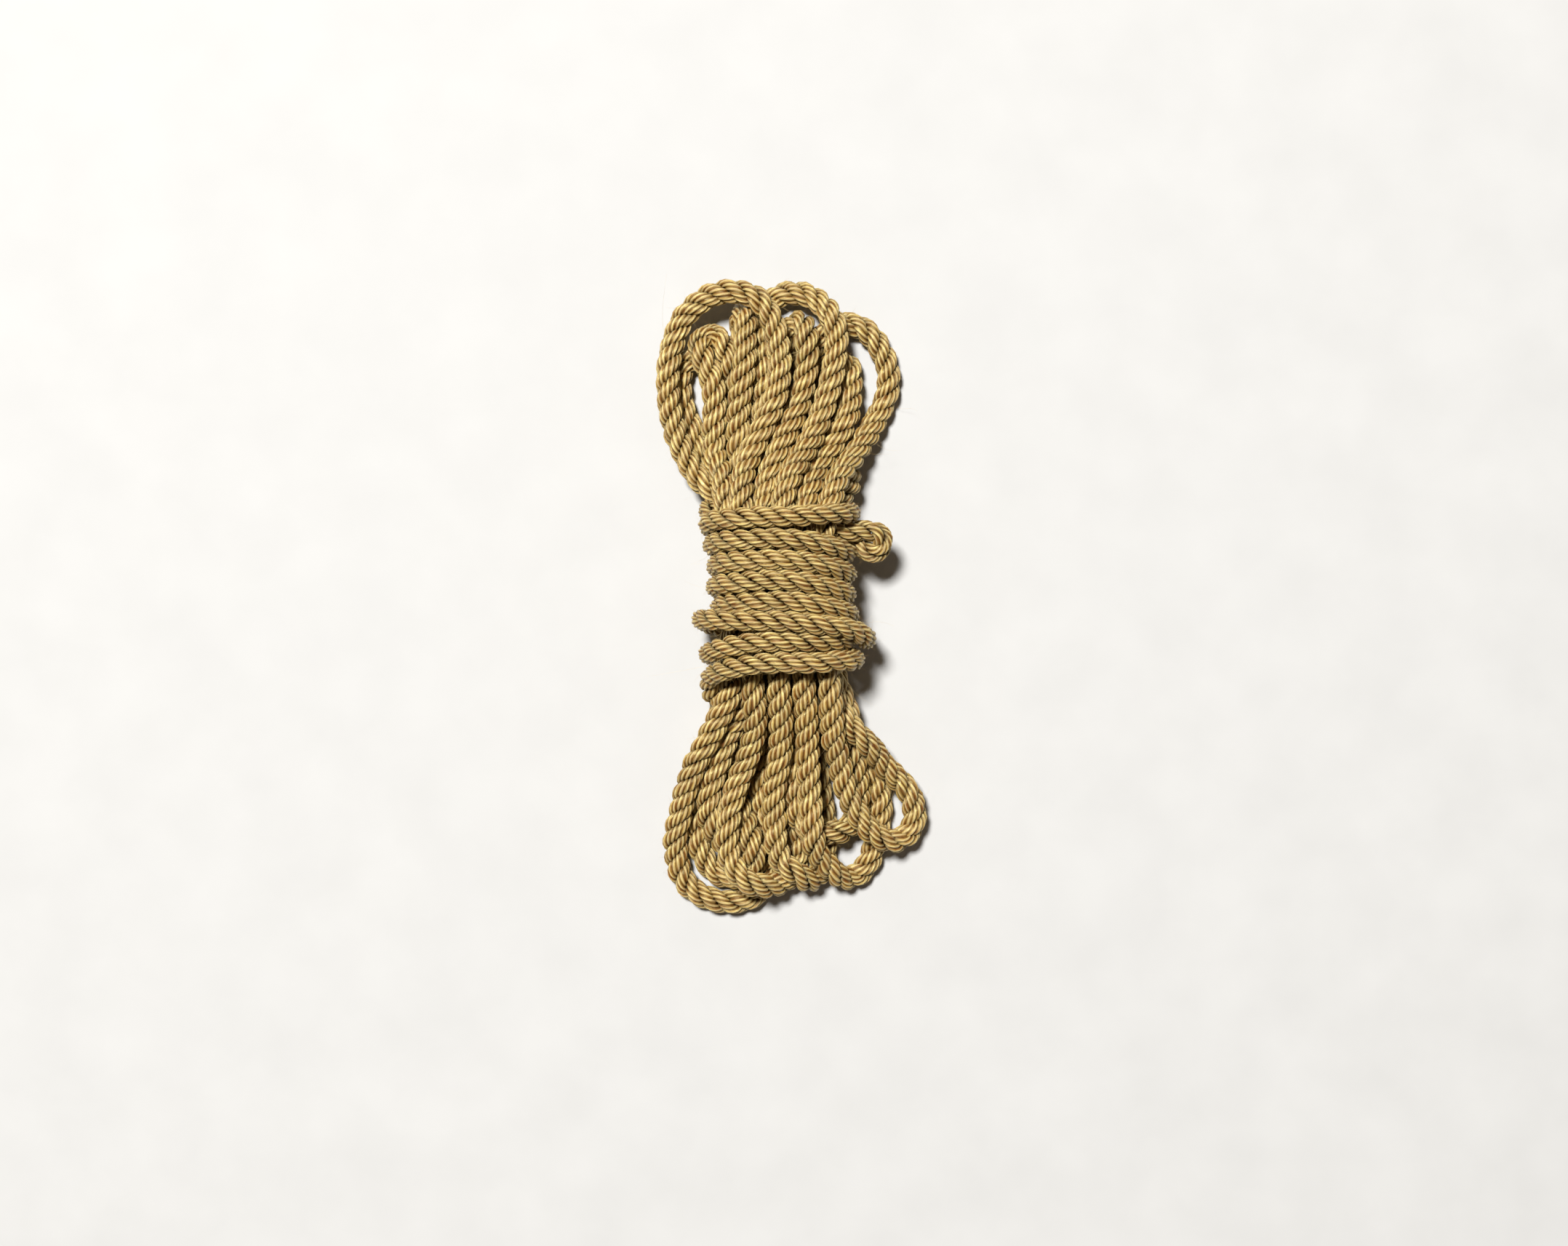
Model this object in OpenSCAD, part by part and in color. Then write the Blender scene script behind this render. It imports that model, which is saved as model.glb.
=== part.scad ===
// Jute lead rope, made up as a hank.
// One length of three-strand rope runs to and fro in long bights, 8 at the top and 7 at the bottom.
// Its last length is wound round the middle, and ends in a bight tucked out under the last turns.
// Millimetres, +Z up. The hank lies flat with its long way on Y, and the origin is on the surface
// that it lies on, under the middle of its box.

/* [Rope] */
// Diameter of the rope where it lies loose
rope_d = 8; // [7:0.5:8]
// Diameter of the rope where it is wound tight
wound_d = 6.7; // [6:0.1:7]

/* [Wrapping] */
// Length of the wrapping, along the hank
wrap_l = 54; // [52:1:60]
// Width of the gathered runs of rope inside the wrapping
runs_w = 35; // [33:1:38]
// Height of the gathered runs of rope inside the wrapping
runs_h = 26; // [24:1:28]
// Corner radius of the gathered runs
runs_r = 9; // [7:1:12]
// Sideways place of the wrapping's middle
wrap_x = -4; // [-5:1:-3]

/* [Tucked bight] */
// How far the tucked bight stands out of the wrapping's side
tucked_out = 12; // [10:1:14]

/* [Whipping] */
// Length of the twine whipping on each end of the rope
whip_l = 9; // [6:1:10]
// Thickness that the twine adds all round
whip_t = 0.5; // [0.3:0.1:0.8]

/* [Hidden] */
turn_count = 8;
tube_sides = 8;

// Each bight's route, in the order that the rope runs. A point is [sideways place, distance out
// from the wrapping's end, height of the rope's middle above that of a rope on the surface].
TOP_BIGHTS = [
    // folded over on itself
    [[-15, 0, 13], [-18.5, 13, 12], [-19, 25, 12], [-16.5, 37, 11.5], [-14.5, 48, 11],
     [-14.5, 57, 11], [-15.3, 61.5, 9.5], [-16, 63.2, 5.5], [-16.2, 61.8, 1.5], [-15.5, 57, 0],
     [-13.5, 43, 0], [-10.5, 28, 0], [-3, 13, 1], [5, 0, 6]],
    // short and narrow, on the right
    [[3, 0, 25], [6, 11, 18], [12.5, 21, 10], [17, 32, 7], [17.3, 39, 6], [16.5, 44.5, 5],
     [15, 48, 4.5], [11.8, 49.4, 4], [8.7, 47.7, 3.5], [7.5, 44, 3], [9.5, 35, 2], [13, 28, 1],
     [17, 18, 1], [17.5, 10, 7], [12, 0, 15]],
    // wide, on the right
    [[10, 0, 22], [14, 11, 16], [20.5, 21, 9], [26.5, 30, 4], [30.5, 40, 0], [29.8, 48, 0],
     [26, 55.5, 0], [20, 60.5, 0], [12, 60, 0], [5.5, 52, 0], [3.5, 40, 0], [5, 23, 0], [8, 11, 4],
     [12, 0, 9]],
    // lowest, on the left
    [[-10, 0, 4], [-17, 9, 1], [-22, 20, 0], [-23, 33, 0.5], [-23.3, 42, 1], [-25.5, 47.5, 1.5],
     [-30, 50, 2.5], [-34.8, 48.3, 2], [-37.2, 43, 1], [-37, 36, 0.5], [-34.5, 29, 1],
     [-31, 21, 2], [-27.5, 13, 4], [-24, 7, 6], [-20, 0, 9]],
    // narrow, on the left
    [[-19.5, 0, 17], [-23.5, 11, 11], [-24.5, 24, 8], [-24.5, 35, 8.5], [-25.8, 43, 9],
     [-28.8, 48, 9.5], [-30.6, 51.5, 9], [-29.8, 55.3, 8], [-26.4, 57, 7.5], [-22.7, 55.6, 6.5],
     [-20.3, 51, 5.5], [-18.5, 43, 4], [-16.5, 27, 3], [-10, 11, 3], [-3, 0, 6]],
    // long, over the middle
    [[-4, 0, 26], [-2, 11, 22], [5, 23, 16], [10, 35, 14], [13, 47, 13], [13.5, 58, 12],
     [9.5, 66, 9], [1, 70.5, 6], [-8, 68, 5], [-12, 58, 4], [-11, 43, 5], [-10, 28, 8],
     [-9, 19, 9], [-8, 10, 11], [-7, 0, 14]],
    // narrow, in the middle
    [[-11, 0, 25], [-7, 13, 19], [-1, 27, 13], [3, 39, 10], [4.5, 50, 9], [4.5, 56, 8],
     [3.5, 60, 7.5], [1, 61.5, 5], [-1.5, 60, 2.5], [-2.5, 56, 2], [-2, 41, 3], [-3, 28, 5],
     [-2, 15, 9], [1, 0, 15]],
    // the largest, over the left
    [[-17, 0, 21], [-17, 9, 20], [-12, 19, 18], [-6, 37, 15], [-5, 53, 15], [-9, 65, 15],
     [-20, 70, 14], [-31, 66, 11], [-37, 59, 9], [-39, 45, 7], [-38.5, 31, 7], [-34, 18, 8],
     [-27.5, 8, 8], [-20, 0, 9]],
];

BOTTOM_BIGHTS = [
    // wide, right of the middle
    [[11, 0, 6], [15, 13, 1], [20, 24, 0], [25, 34, 0], [26.5, 46, 0], [25, 56, 0], [20.5, 62, 2],
     [14, 62.5, 6], [8.5, 56, 11], [5, 45, 14], [4, 31, 15], [4, 15, 20], [3, 0, 26]],
    // swung out to the right
    [[12, 0, 13], [13.5, 8, 12], [17, 15, 11], [23, 22, 10], [30, 28, 9], [36.5, 34, 8],
     [39, 42, 7], [36.5, 49, 7], [30.5, 51, 8.5], [24, 47.5, 10.5], [18.5, 39, 13], [14.5, 26, 16],
     [12.5, 12, 20.5], [11, 0, 23]],
    // short, with a flat end
    [[12, 0, 10], [16, 13, 6], [20, 23, 6], [21.5, 33, 6], [21.5, 42, 6], [17, 47, 6], [10, 48, 7],
     [3, 47.5, 7], [0, 41, 7], [-1, 29, 7], [1, 15, 6], [3, 0, 8]],
    // rounded, low on the left
    [[-10, 0, 6], [-14, 13, 2], [-17, 25, 2], [-16, 39, 4], [-13, 47, 6], [-10, 54, 7],
     [-12, 61, 6], [-19, 63, 3], [-27, 60, 0], [-30, 49, 0], [-27, 33, 0], [-22.5, 13, 0],
     [-18.5, 0, 5]],
    // over the middle
    [[4, 0, 6], [6, 13, 3], [7, 25, 1], [9, 39, 0], [10.5, 52, 0], [8.5, 61, 2], [3, 63, 7],
     [-4, 59, 12], [-7, 53, 13], [-6, 43, 13], [-5, 29, 14], [-4, 15, 20], [-5, 0, 26]],
    // over the left of the middle
    [[-2, 0, 15], [-4, 13, 8], [-5, 25, 1], [-3, 41, 0], [0, 54, 0], [-3, 62, 4], [-10, 63, 12],
     [-17, 60, 13], [-21.5, 53, 13], [-22, 43, 12], [-19, 33, 12], [-14, 23, 15], [-12, 11, 19],
     [-13, 0, 23]],
    // the longest, round the left
    [[-7, 0, 13], [-9, 13, 6], [-11, 27, 1], [-10, 41, 0], [-7, 55, 0], [-10, 65, 1], [-19, 70, 2],
     [-29, 69, 3], [-36, 63, 4], [-37.5, 53, 6], [-35.5, 42, 9], [-31.5, 30, 13], [-27.5, 20, 15],
     [-23, 10, 16], [-19, 0, 18]],
];

// The rope's first end lies under the bottom bights, and runs up into the wrapping.
START_TAIL = [[-17, 53, 3], [-25, 50, 6], [-28, 43, 6], [-27, 31, 6], [-21, 15, 8], [-12, 0, 14]];

// The last run comes out of the gathered runs and turns up to the first turn's left side.
WRAP_LEAD = [[-15, 0, 6], [-17.5, 4, 5], [-21.5, 6.5, 6], [-25, 5, 9.5]];

function numbered(name, count) = [for (k = [1:count]) str(name, k)];

jute = [0.72, 0.60, 0.36];
shaded_jute = [0.58, 0.46, 0.27];
twine = [0.85, 0.79, 0.62];

wrap_end = wrap_l / 2;
turn_w = wrap_l / turn_count;
runs_z = wound_d + runs_h / 2;
runs_right = wrap_x + runs_w / 2;
wrap_right = runs_right + wound_d;
left_wall_x = wrap_x - (runs_w + wound_d) / 2;
// The tucked bight's two legs, beside the last turn and the turn before it
upper_leg_y = wrap_end - turn_w / 2;
lower_leg_y = upper_leg_y - turn_w;
tucked_end_l = 12;

function unit(v) = v / norm(v);

// A bight's route in the part's own frame: side is 1 at the top and -1 at the bottom.
function laid(route, side) = [
    for (p = route) [p.x, side * (wrap_end + p.y), p.z + rope_d / 2]
];

// Direction of the tube at point k: given at both ends, and between its neighbours elsewhere.
function heading(path, k, first, last) =
    k == 0 ? first : k == len(path) - 1 ? last : unit(path[k + 1] - path[k - 1]);

// One side direction for each ring, carried along the path so that the tube doesn't twist.
function carried(old, dir) = unit(old - (old * dir) * dir);
function ring_side(path, k, first, last) =
    k == 0
        ? unit(cross(first, [0, 0, 1]))
        : carried(ring_side(path, k - 1, first, last), heading(path, k, first, last));

function ring(middle, dir, side, r) = [
    for (j = [0:tube_sides - 1])
        let (a = (j + 0.5) * 360 / tube_sides)
            middle + r * (cos(a) * side + sin(a) * cross(dir, side))
];

// A closed tube along a path, with one ring at each point.
module tube(path, d, first, last) {
    n = tube_sides;
    top = (len(path) - 1) * n;
    rings = [
        for (k = [0:len(path) - 1])
            ring(path[k], heading(path, k, first, last), ring_side(path, k, first, last), d / 2)
    ];
    walls = [
        for (k = [0:len(path) - 2], j = [0:n - 1])
            let (a = k * n + j, b = k * n + (j + 1) % n)
                each [[a, a + n, b + n], [a, b + n, b]]
    ];
    start_cap = [for (j = [0:n - 1]) j];
    end_cap = [for (j = [0:n - 1]) top + n - 1 - j];
    polyhedron(points = [for (r = rings) each r], faces = concat(walls, [start_cap, end_cap]));
}

// Outline of the gathered runs, seen along the hank, grown by some margin all round.
module runs_outline(margin) {
    flat_w = runs_w - 2 * runs_r;
    flat_h = runs_h - 2 * runs_r;
    translate([wrap_x, runs_z]) {
        square([flat_w, runs_h + 2 * margin], center = true);
        square([runs_w + 2 * margin, flat_h], center = true);
        for (sx = [-1, 1], sz = [-1, 1])
            translate([sx * flat_w / 2, sz * flat_h / 2])
                circle(r = runs_r + margin, $fn = 64);
    }
}

// Stands an outline drawn in X and Z up along Y, from a low Y over a length.
module along_hank(from_y, l) {
    translate([0, from_y + l, 0])
        rotate([90, 0, 0])
            linear_extrude(height = l)
                children();
}

// A round rod that runs sideways through the wrapping's middle height, at a given Y.
module sideways_rod(from_x, to_x, y, d) {
    translate([from_x, y, runs_z])
        rotate([0, 90, 0])
            cylinder(d = d, h = to_x - from_x, $fn = 48);
}

// The 16 runs of rope inside the wrapping, gathered into one solid, with the pocket that
// the tucked end lies in.
module gathered_runs() {
    pocket_l = tucked_end_l + whip_l;
    color(shaded_jute)
        difference() {
            along_hank(-wrap_end, wrap_l)
                runs_outline(0);
            sideways_rod(runs_right - pocket_l, runs_right + 1, lower_leg_y, wound_d + 2 * whip_t);
        }
}

// One turn of the wrapping; turn 1 was wound first, at the bottom end.
module wrap_turn(k) {
    color(jute)
        difference() {
            along_hank(-wrap_end + (k - 1) * turn_w, turn_w)
                runs_outline(wound_d);
            along_hank(-wrap_end + (k - 1) * turn_w - 1, turn_w + 2)
                runs_outline(0);
        }
}

// The stretch between the last run and the first turn.
module wrap_lead() {
    joined = [left_wall_x, 0, runs_z - rope_d / 2];
    color(shaded_jute)
        tube(laid(concat(WRAP_LEAD, [joined]), -1), wound_d, [0, -1, 0], [0, 1, 0]);
}

// The bight that stands out of the wrapping's right side.
module tucked_bight() {
    middle_y = (upper_leg_y + lower_leg_y) / 2;
    tip_r = turn_w / 2 + 0.5;
    tip_middle = [wrap_right + tucked_out - wound_d / 2 - tip_r, middle_y, runs_z];
    path = concat(
        [[wrap_right, upper_leg_y, runs_z]],
        [for (a = [90:-45:-90]) tip_middle + tip_r * [cos(a), sin(a), 0]],
        [[wrap_right, lower_leg_y, runs_z]]
    );
    color(jute)
        tube(path, wound_d, [1, 0, 0], [-1, 0, 0]);
}

// The rope's last stretch, inside the gathered runs.
module tucked_end() {
    color(shaded_jute)
        sideways_rod(runs_right - tucked_end_l, runs_right, lower_leg_y, wound_d);
}

// Twine on the rope's last end.
module end_whipping() {
    whip_d = wound_d + 2 * whip_t;
    color(twine)
        sideways_rod(runs_right - tucked_end_l - whip_l, runs_right - tucked_end_l, lower_leg_y, whip_d);
}

module top_bight(k) {
    color(jute)
        tube(laid(TOP_BIGHTS[k - 1], 1), rope_d, [0, 1, 0], [0, -1, 0]);
}

module bottom_bight(k) {
    color(jute)
        tube(laid(BOTTOM_BIGHTS[k - 1], -1), rope_d, [0, -1, 0], [0, 1, 0]);
}

// The rope's first stretch, from its whipped end into the wrapping.
module start_tail() {
    path = laid(START_TAIL, -1);
    color(shaded_jute)
        tube(path, rope_d, [-1, 0, 0], [0, 1, 0]);
}

// Twine on the rope's first end, which lies level under the bights.
module start_whipping() {
    end = laid(START_TAIL, -1)[0];
    color(twine)
        translate(end)
            rotate([0, 90, 0])
                cylinder(d = rope_d + 2 * whip_t, h = whip_l, $fn = 48);
}

gathered_runs();
tucked_end();
end_whipping();
wrap_lead();
for (k = [1:turn_count]) wrap_turn(k);
tucked_bight();
for (k = [1:len(TOP_BIGHTS)]) top_bight(k);
for (k = [1:len(BOTTOM_BIGHTS)]) bottom_bight(k);
start_tail();
start_whipping();
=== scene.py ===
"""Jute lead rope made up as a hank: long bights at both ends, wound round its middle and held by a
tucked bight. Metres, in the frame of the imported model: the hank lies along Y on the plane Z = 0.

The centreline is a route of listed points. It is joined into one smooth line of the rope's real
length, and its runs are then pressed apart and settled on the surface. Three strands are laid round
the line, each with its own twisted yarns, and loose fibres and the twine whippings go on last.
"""
import math
from collections import namedtuple

import bpy
import numpy as np
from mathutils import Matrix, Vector


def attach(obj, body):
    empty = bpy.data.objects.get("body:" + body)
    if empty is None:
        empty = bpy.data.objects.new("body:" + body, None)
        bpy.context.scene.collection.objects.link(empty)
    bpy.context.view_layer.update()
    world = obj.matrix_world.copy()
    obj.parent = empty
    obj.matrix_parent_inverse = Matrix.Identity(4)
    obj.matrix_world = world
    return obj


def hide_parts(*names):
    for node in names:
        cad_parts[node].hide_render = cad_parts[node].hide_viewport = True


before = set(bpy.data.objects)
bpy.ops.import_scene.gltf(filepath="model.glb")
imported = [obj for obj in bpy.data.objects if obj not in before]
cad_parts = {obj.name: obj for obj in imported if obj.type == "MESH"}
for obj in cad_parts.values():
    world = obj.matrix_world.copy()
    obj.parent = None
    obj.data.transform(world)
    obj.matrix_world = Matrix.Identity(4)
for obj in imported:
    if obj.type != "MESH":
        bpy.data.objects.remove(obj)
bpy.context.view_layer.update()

# The rope, in metres
ROPE_D = 0.008
WOUND_D = 0.0067  # in the wrapping, where it is pulled tight
GATHERED_D = 0.0070  # inside the wrapping, where it is squeezed
TIGHTEST = 0.55  # radius of the rope's tightest bend, as a share of its diameter
LAY = 0.0165  # length of one full turn of a strand round the rope
STRANDS = 3
RING_STEP = 0.00075  # between two rings of points, along the rope

# A strand's shape, as shares of the rope's diameter there
HELIX_R = 0.285
STRAND_OUT_R = 0.215  # towards and away from the rope's middle
STRAND_SIDE_R = 0.250  # along the rope's round

# The yarns round a strand
YARNS = 5
YARN_STEPS = 6  # columns of faces across one yarn
YARN_PITCH = 0.0080  # length of strand in which a yarn goes once round it
YARN_DEPTH = 0.32  # how deep the grooves between yarns are, as a share of the strand's radius

SEED = 7  # of all that is random

# Unevenness: the length of rope between two changes, and about how large they are
TWIST_WANDER = (0.005, 0.04)  # of how far the yarns have turned, in turns
PLACE_WANDER = (0.004, 0.012)  # of one yarn's place round the strand, in turns
YARN_WANDER = (0.004, 0.06)  # of one yarn's height, as a share of the strand's radius
STRAND_WANDER = (0.010, 0.04)  # of the whole strand's thickness, as a share of it

# Loose fibres: how many there are on each strand, their radius and their shortest and longest
FUZZ_COUNT = 3000
FUZZ_R = 0.000022
FUZZ_LENGTHS = (0.0008, 0.0028)
FUZZ_STEPS = 5  # points along one fibre
STRAY_COUNT = 60
STRAY_R = 0.000032
STRAY_LENGTHS = (0.005, 0.014)
STRAY_STEPS = 14
OUTSIDE = 0.8  # hairs grow where the surface is further out than this share of the rope's radius
HAIR_SIDES = 3
HAIR_TAPER = 0.7  # how much of its radius a hair loses by its tip

# The twine whipping on each end of the rope
WHIP_L = 0.009
WHIP_RINGS = int(WHIP_L / RING_STEP)
WHIPPED_SHARE = 0.88  # how thin the twine squeezes the rope
TWINE_R = 0.00045
TWINE_TIGHT = 0.98  # distance between two turns, as a share of the twine's width
TWINE_SEAT = 0.85  # height of its middle above the rope, as a share of its radius
TWINE_TWIST = 0.0035  # length of twine in which its own two yarns go once round
TWINE_RIDGE = 0.07  # how far the two yarns stand out, as a share of its radius
TWINE_SIDES = 10
TWINE_TURN_STEPS = 20  # rings of points in one turn

# The wrapping and the surface
WRAP_END = 0.027  # the wrapping's ends are at this distance either side of the middle
WRAP_MIDDLE_Z = 0.020
TURN_STEPS = 16  # points in one turn
LAST_TURN_STEPS = 14  # the last turn leaves the wrapping before it is all the way round
ROUNDNESS = 0.8  # of a turn's outline: 1 is an ellipse, and less is squarer

# How the runs are pressed apart. Shares are of the whole distance to go, in one round.
SETTLE_STEP = 0.0025  # between two points of the chain
SETTLE_ROUNDS = 220
SEARCH_EVERY = 10  # rounds between two searches for points that are close
SEARCH_MARGIN = 0.003  # how much further than touching such points may be
PUSH_SHARE = 0.9
SINK = 0.00005  # how far a free point comes down in one round
PULL_SIDEWAYS = 0.03  # back to the route
PULL_HEIGHT = 0.01  # back to the route's height
PULL_WOUND = 0.07  # added to both in the wrapping
STRETCH_ROUNDS = 3  # of bringing the chain back to its length, in each round
STRETCH_SHARE = 0.25
SMOOTH_SHARE = 0.12  # towards the middle between its two neighbours

# The light and the floor
KEY_PLACE = (-0.60, 0.90, 2.80)
KEY_SIZE = 0.50
KEY_POWER = 160.0
FILL_COLOUR = (1.0, 0.84, 0.70, 1.0)
FILL_STRENGTH = 0.11
FLOOR_HALF = 6.0  # half the floor's side

# Each bight's route, in the order that the rope runs. A point is (sideways place, distance out from
# the wrapping's end, height of the rope's middle above that of a rope on the surface).
TOP_BIGHTS = [
    # folded over on itself
    [
        (-0.015, 0.000, 0.013), (-0.0185, 0.013, 0.012), (-0.019, 0.025, 0.012),
        (-0.0165, 0.037, 0.0115), (-0.0145, 0.048, 0.011), (-0.0145, 0.057, 0.011),
        (-0.0153, 0.0615, 0.0095), (-0.016, 0.0632, 0.0055), (-0.0162, 0.0618, 0.0015),
        (-0.0155, 0.057, 0.000), (-0.0135, 0.043, 0.000), (-0.0105, 0.028, 0.000),
        (-0.003, 0.013, 0.001), (0.005, 0.000, 0.006),
    ],
    # short and narrow, on the right
    [
        (0.003, 0.000, 0.025), (0.006, 0.011, 0.018), (0.0125, 0.021, 0.010),
        (0.017, 0.032, 0.007), (0.0173, 0.039, 0.006), (0.0165, 0.0445, 0.005),
        (0.015, 0.048, 0.0045), (0.0118, 0.0494, 0.004), (0.0087, 0.0477, 0.0035),
        (0.0075, 0.044, 0.003), (0.0095, 0.035, 0.002), (0.013, 0.028, 0.001),
        (0.017, 0.018, 0.001), (0.0175, 0.010, 0.007), (0.012, 0.000, 0.015),
    ],
    # wide, on the right
    [
        (0.010, 0.000, 0.022), (0.014, 0.011, 0.016), (0.0205, 0.021, 0.009),
        (0.0265, 0.030, 0.004), (0.0305, 0.040, 0.000), (0.0298, 0.048, 0.000),
        (0.026, 0.0555, 0.000), (0.020, 0.0605, 0.000), (0.012, 0.060, 0.000),
        (0.0055, 0.052, 0.000), (0.0035, 0.040, 0.000), (0.005, 0.023, 0.000),
        (0.008, 0.011, 0.004), (0.012, 0.000, 0.009),
    ],
    # lowest, on the left
    [
        (-0.010, 0.000, 0.004), (-0.017, 0.009, 0.001), (-0.022, 0.020, 0.000),
        (-0.023, 0.033, 0.0005), (-0.0233, 0.042, 0.001), (-0.0255, 0.0475, 0.0015),
        (-0.030, 0.050, 0.0025), (-0.0348, 0.0483, 0.002), (-0.0372, 0.043, 0.001),
        (-0.037, 0.036, 0.0005), (-0.0345, 0.029, 0.001), (-0.031, 0.021, 0.002),
        (-0.0275, 0.013, 0.004), (-0.024, 0.007, 0.006), (-0.020, 0.000, 0.009),
    ],
    # narrow, on the left
    [
        (-0.0195, 0.000, 0.017), (-0.0235, 0.011, 0.011), (-0.0245, 0.024, 0.008),
        (-0.0245, 0.035, 0.0085), (-0.0258, 0.043, 0.009), (-0.0288, 0.048, 0.0095),
        (-0.0306, 0.0515, 0.009), (-0.0298, 0.0553, 0.008), (-0.0264, 0.057, 0.0075),
        (-0.0227, 0.0556, 0.0065), (-0.0203, 0.051, 0.0055), (-0.0185, 0.043, 0.004),
        (-0.0165, 0.027, 0.003), (-0.010, 0.011, 0.003), (-0.003, 0.000, 0.006),
    ],
    # long, over the middle
    [
        (-0.004, 0.000, 0.026), (-0.002, 0.011, 0.022), (0.005, 0.023, 0.016),
        (0.010, 0.035, 0.014), (0.013, 0.047, 0.013), (0.0135, 0.058, 0.012),
        (0.0095, 0.066, 0.009), (0.001, 0.0705, 0.006), (-0.008, 0.068, 0.005),
        (-0.012, 0.058, 0.004), (-0.011, 0.043, 0.005), (-0.010, 0.028, 0.008),
        (-0.009, 0.019, 0.009), (-0.008, 0.010, 0.011), (-0.007, 0.000, 0.014),
    ],
    # narrow, in the middle
    [
        (-0.011, 0.000, 0.025), (-0.007, 0.013, 0.019), (-0.001, 0.027, 0.013),
        (0.003, 0.039, 0.010), (0.0045, 0.050, 0.009), (0.0045, 0.056, 0.008),
        (0.0035, 0.060, 0.0075), (0.001, 0.0615, 0.005), (-0.0015, 0.060, 0.0025),
        (-0.0025, 0.056, 0.002), (-0.002, 0.041, 0.003), (-0.003, 0.028, 0.005),
        (-0.002, 0.015, 0.009), (0.001, 0.000, 0.015),
    ],
    # the largest, over the left
    [
        (-0.017, 0.000, 0.021), (-0.017, 0.009, 0.020), (-0.012, 0.019, 0.018),
        (-0.006, 0.037, 0.015), (-0.005, 0.053, 0.015), (-0.009, 0.065, 0.015),
        (-0.020, 0.070, 0.014), (-0.031, 0.066, 0.011), (-0.037, 0.059, 0.009),
        (-0.039, 0.045, 0.007), (-0.0385, 0.031, 0.007), (-0.034, 0.018, 0.008),
        (-0.0275, 0.008, 0.008), (-0.020, 0.000, 0.009),
    ],
]
BOTTOM_BIGHTS = [
    # wide, right of the middle
    [
        (0.011, 0.000, 0.006), (0.015, 0.013, 0.001), (0.020, 0.024, 0.000), (0.025, 0.034, 0.000),
        (0.0265, 0.046, 0.000), (0.025, 0.056, 0.000), (0.0205, 0.062, 0.002),
        (0.014, 0.0625, 0.006), (0.0085, 0.056, 0.011), (0.005, 0.045, 0.014),
        (0.004, 0.031, 0.015), (0.004, 0.015, 0.020), (0.003, 0.000, 0.026),
    ],
    # swung out to the right
    [
        (0.012, 0.000, 0.013), (0.0135, 0.008, 0.012), (0.017, 0.015, 0.011),
        (0.023, 0.022, 0.010), (0.030, 0.028, 0.009), (0.0365, 0.034, 0.008),
        (0.039, 0.042, 0.007), (0.0365, 0.049, 0.007), (0.0305, 0.051, 0.0085),
        (0.024, 0.0475, 0.0105), (0.0185, 0.039, 0.013), (0.0145, 0.026, 0.016),
        (0.0125, 0.012, 0.0205), (0.011, 0.000, 0.023),
    ],
    # short, with a flat end
    [
        (0.012, 0.000, 0.010), (0.016, 0.013, 0.006), (0.020, 0.023, 0.006),
        (0.0215, 0.033, 0.006), (0.0215, 0.042, 0.006), (0.017, 0.047, 0.006),
        (0.010, 0.048, 0.007), (0.003, 0.0475, 0.007), (0.000, 0.041, 0.007),
        (-0.001, 0.029, 0.007), (0.001, 0.015, 0.006), (0.003, 0.000, 0.008),
    ],
    # rounded, low on the left
    [
        (-0.010, 0.000, 0.006), (-0.014, 0.013, 0.002), (-0.017, 0.025, 0.002),
        (-0.016, 0.039, 0.004), (-0.013, 0.047, 0.006), (-0.010, 0.054, 0.007),
        (-0.012, 0.061, 0.006), (-0.019, 0.063, 0.003), (-0.027, 0.060, 0.000),
        (-0.030, 0.049, 0.000), (-0.027, 0.033, 0.000), (-0.0225, 0.013, 0.000),
        (-0.0185, 0.000, 0.005),
    ],
    # over the middle
    [
        (0.004, 0.000, 0.006), (0.006, 0.013, 0.003), (0.007, 0.025, 0.001), (0.009, 0.039, 0.000),
        (0.0105, 0.052, 0.000), (0.0085, 0.061, 0.002), (0.003, 0.063, 0.007),
        (-0.004, 0.059, 0.012), (-0.007, 0.053, 0.013), (-0.006, 0.043, 0.013),
        (-0.005, 0.029, 0.014), (-0.004, 0.015, 0.020), (-0.005, 0.000, 0.026),
    ],
    # over the left of the middle
    [
        (-0.002, 0.000, 0.015), (-0.004, 0.013, 0.008), (-0.005, 0.025, 0.001),
        (-0.003, 0.041, 0.000), (0.000, 0.054, 0.000), (-0.003, 0.062, 0.004),
        (-0.010, 0.063, 0.012), (-0.017, 0.060, 0.013), (-0.0215, 0.053, 0.013),
        (-0.022, 0.043, 0.012), (-0.019, 0.033, 0.012), (-0.014, 0.023, 0.015),
        (-0.012, 0.011, 0.019), (-0.013, 0.000, 0.023),
    ],
    # the longest, round the left
    [
        (-0.007, 0.000, 0.013), (-0.009, 0.013, 0.006), (-0.011, 0.027, 0.001),
        (-0.010, 0.041, 0.000), (-0.007, 0.055, 0.000), (-0.010, 0.065, 0.001),
        (-0.019, 0.070, 0.002), (-0.029, 0.069, 0.003), (-0.036, 0.063, 0.004),
        (-0.0375, 0.053, 0.006), (-0.0355, 0.042, 0.009), (-0.0315, 0.030, 0.013),
        (-0.0275, 0.020, 0.015), (-0.023, 0.010, 0.016), (-0.019, 0.000, 0.018),
    ],
]
START_TAIL = [
    (-0.017, 0.053, 0.003), (-0.025, 0.050, 0.006), (-0.028, 0.043, 0.006), (-0.027, 0.031, 0.006),
    (-0.021, 0.015, 0.008), (-0.012, 0.000, 0.014),
]
WRAP_LEAD = [
    (-0.015, 0.000, 0.006), (-0.0175, 0.004, 0.005), (-0.0215, 0.0065, 0.006),
    (-0.025, 0.005, 0.0095),
]

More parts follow.
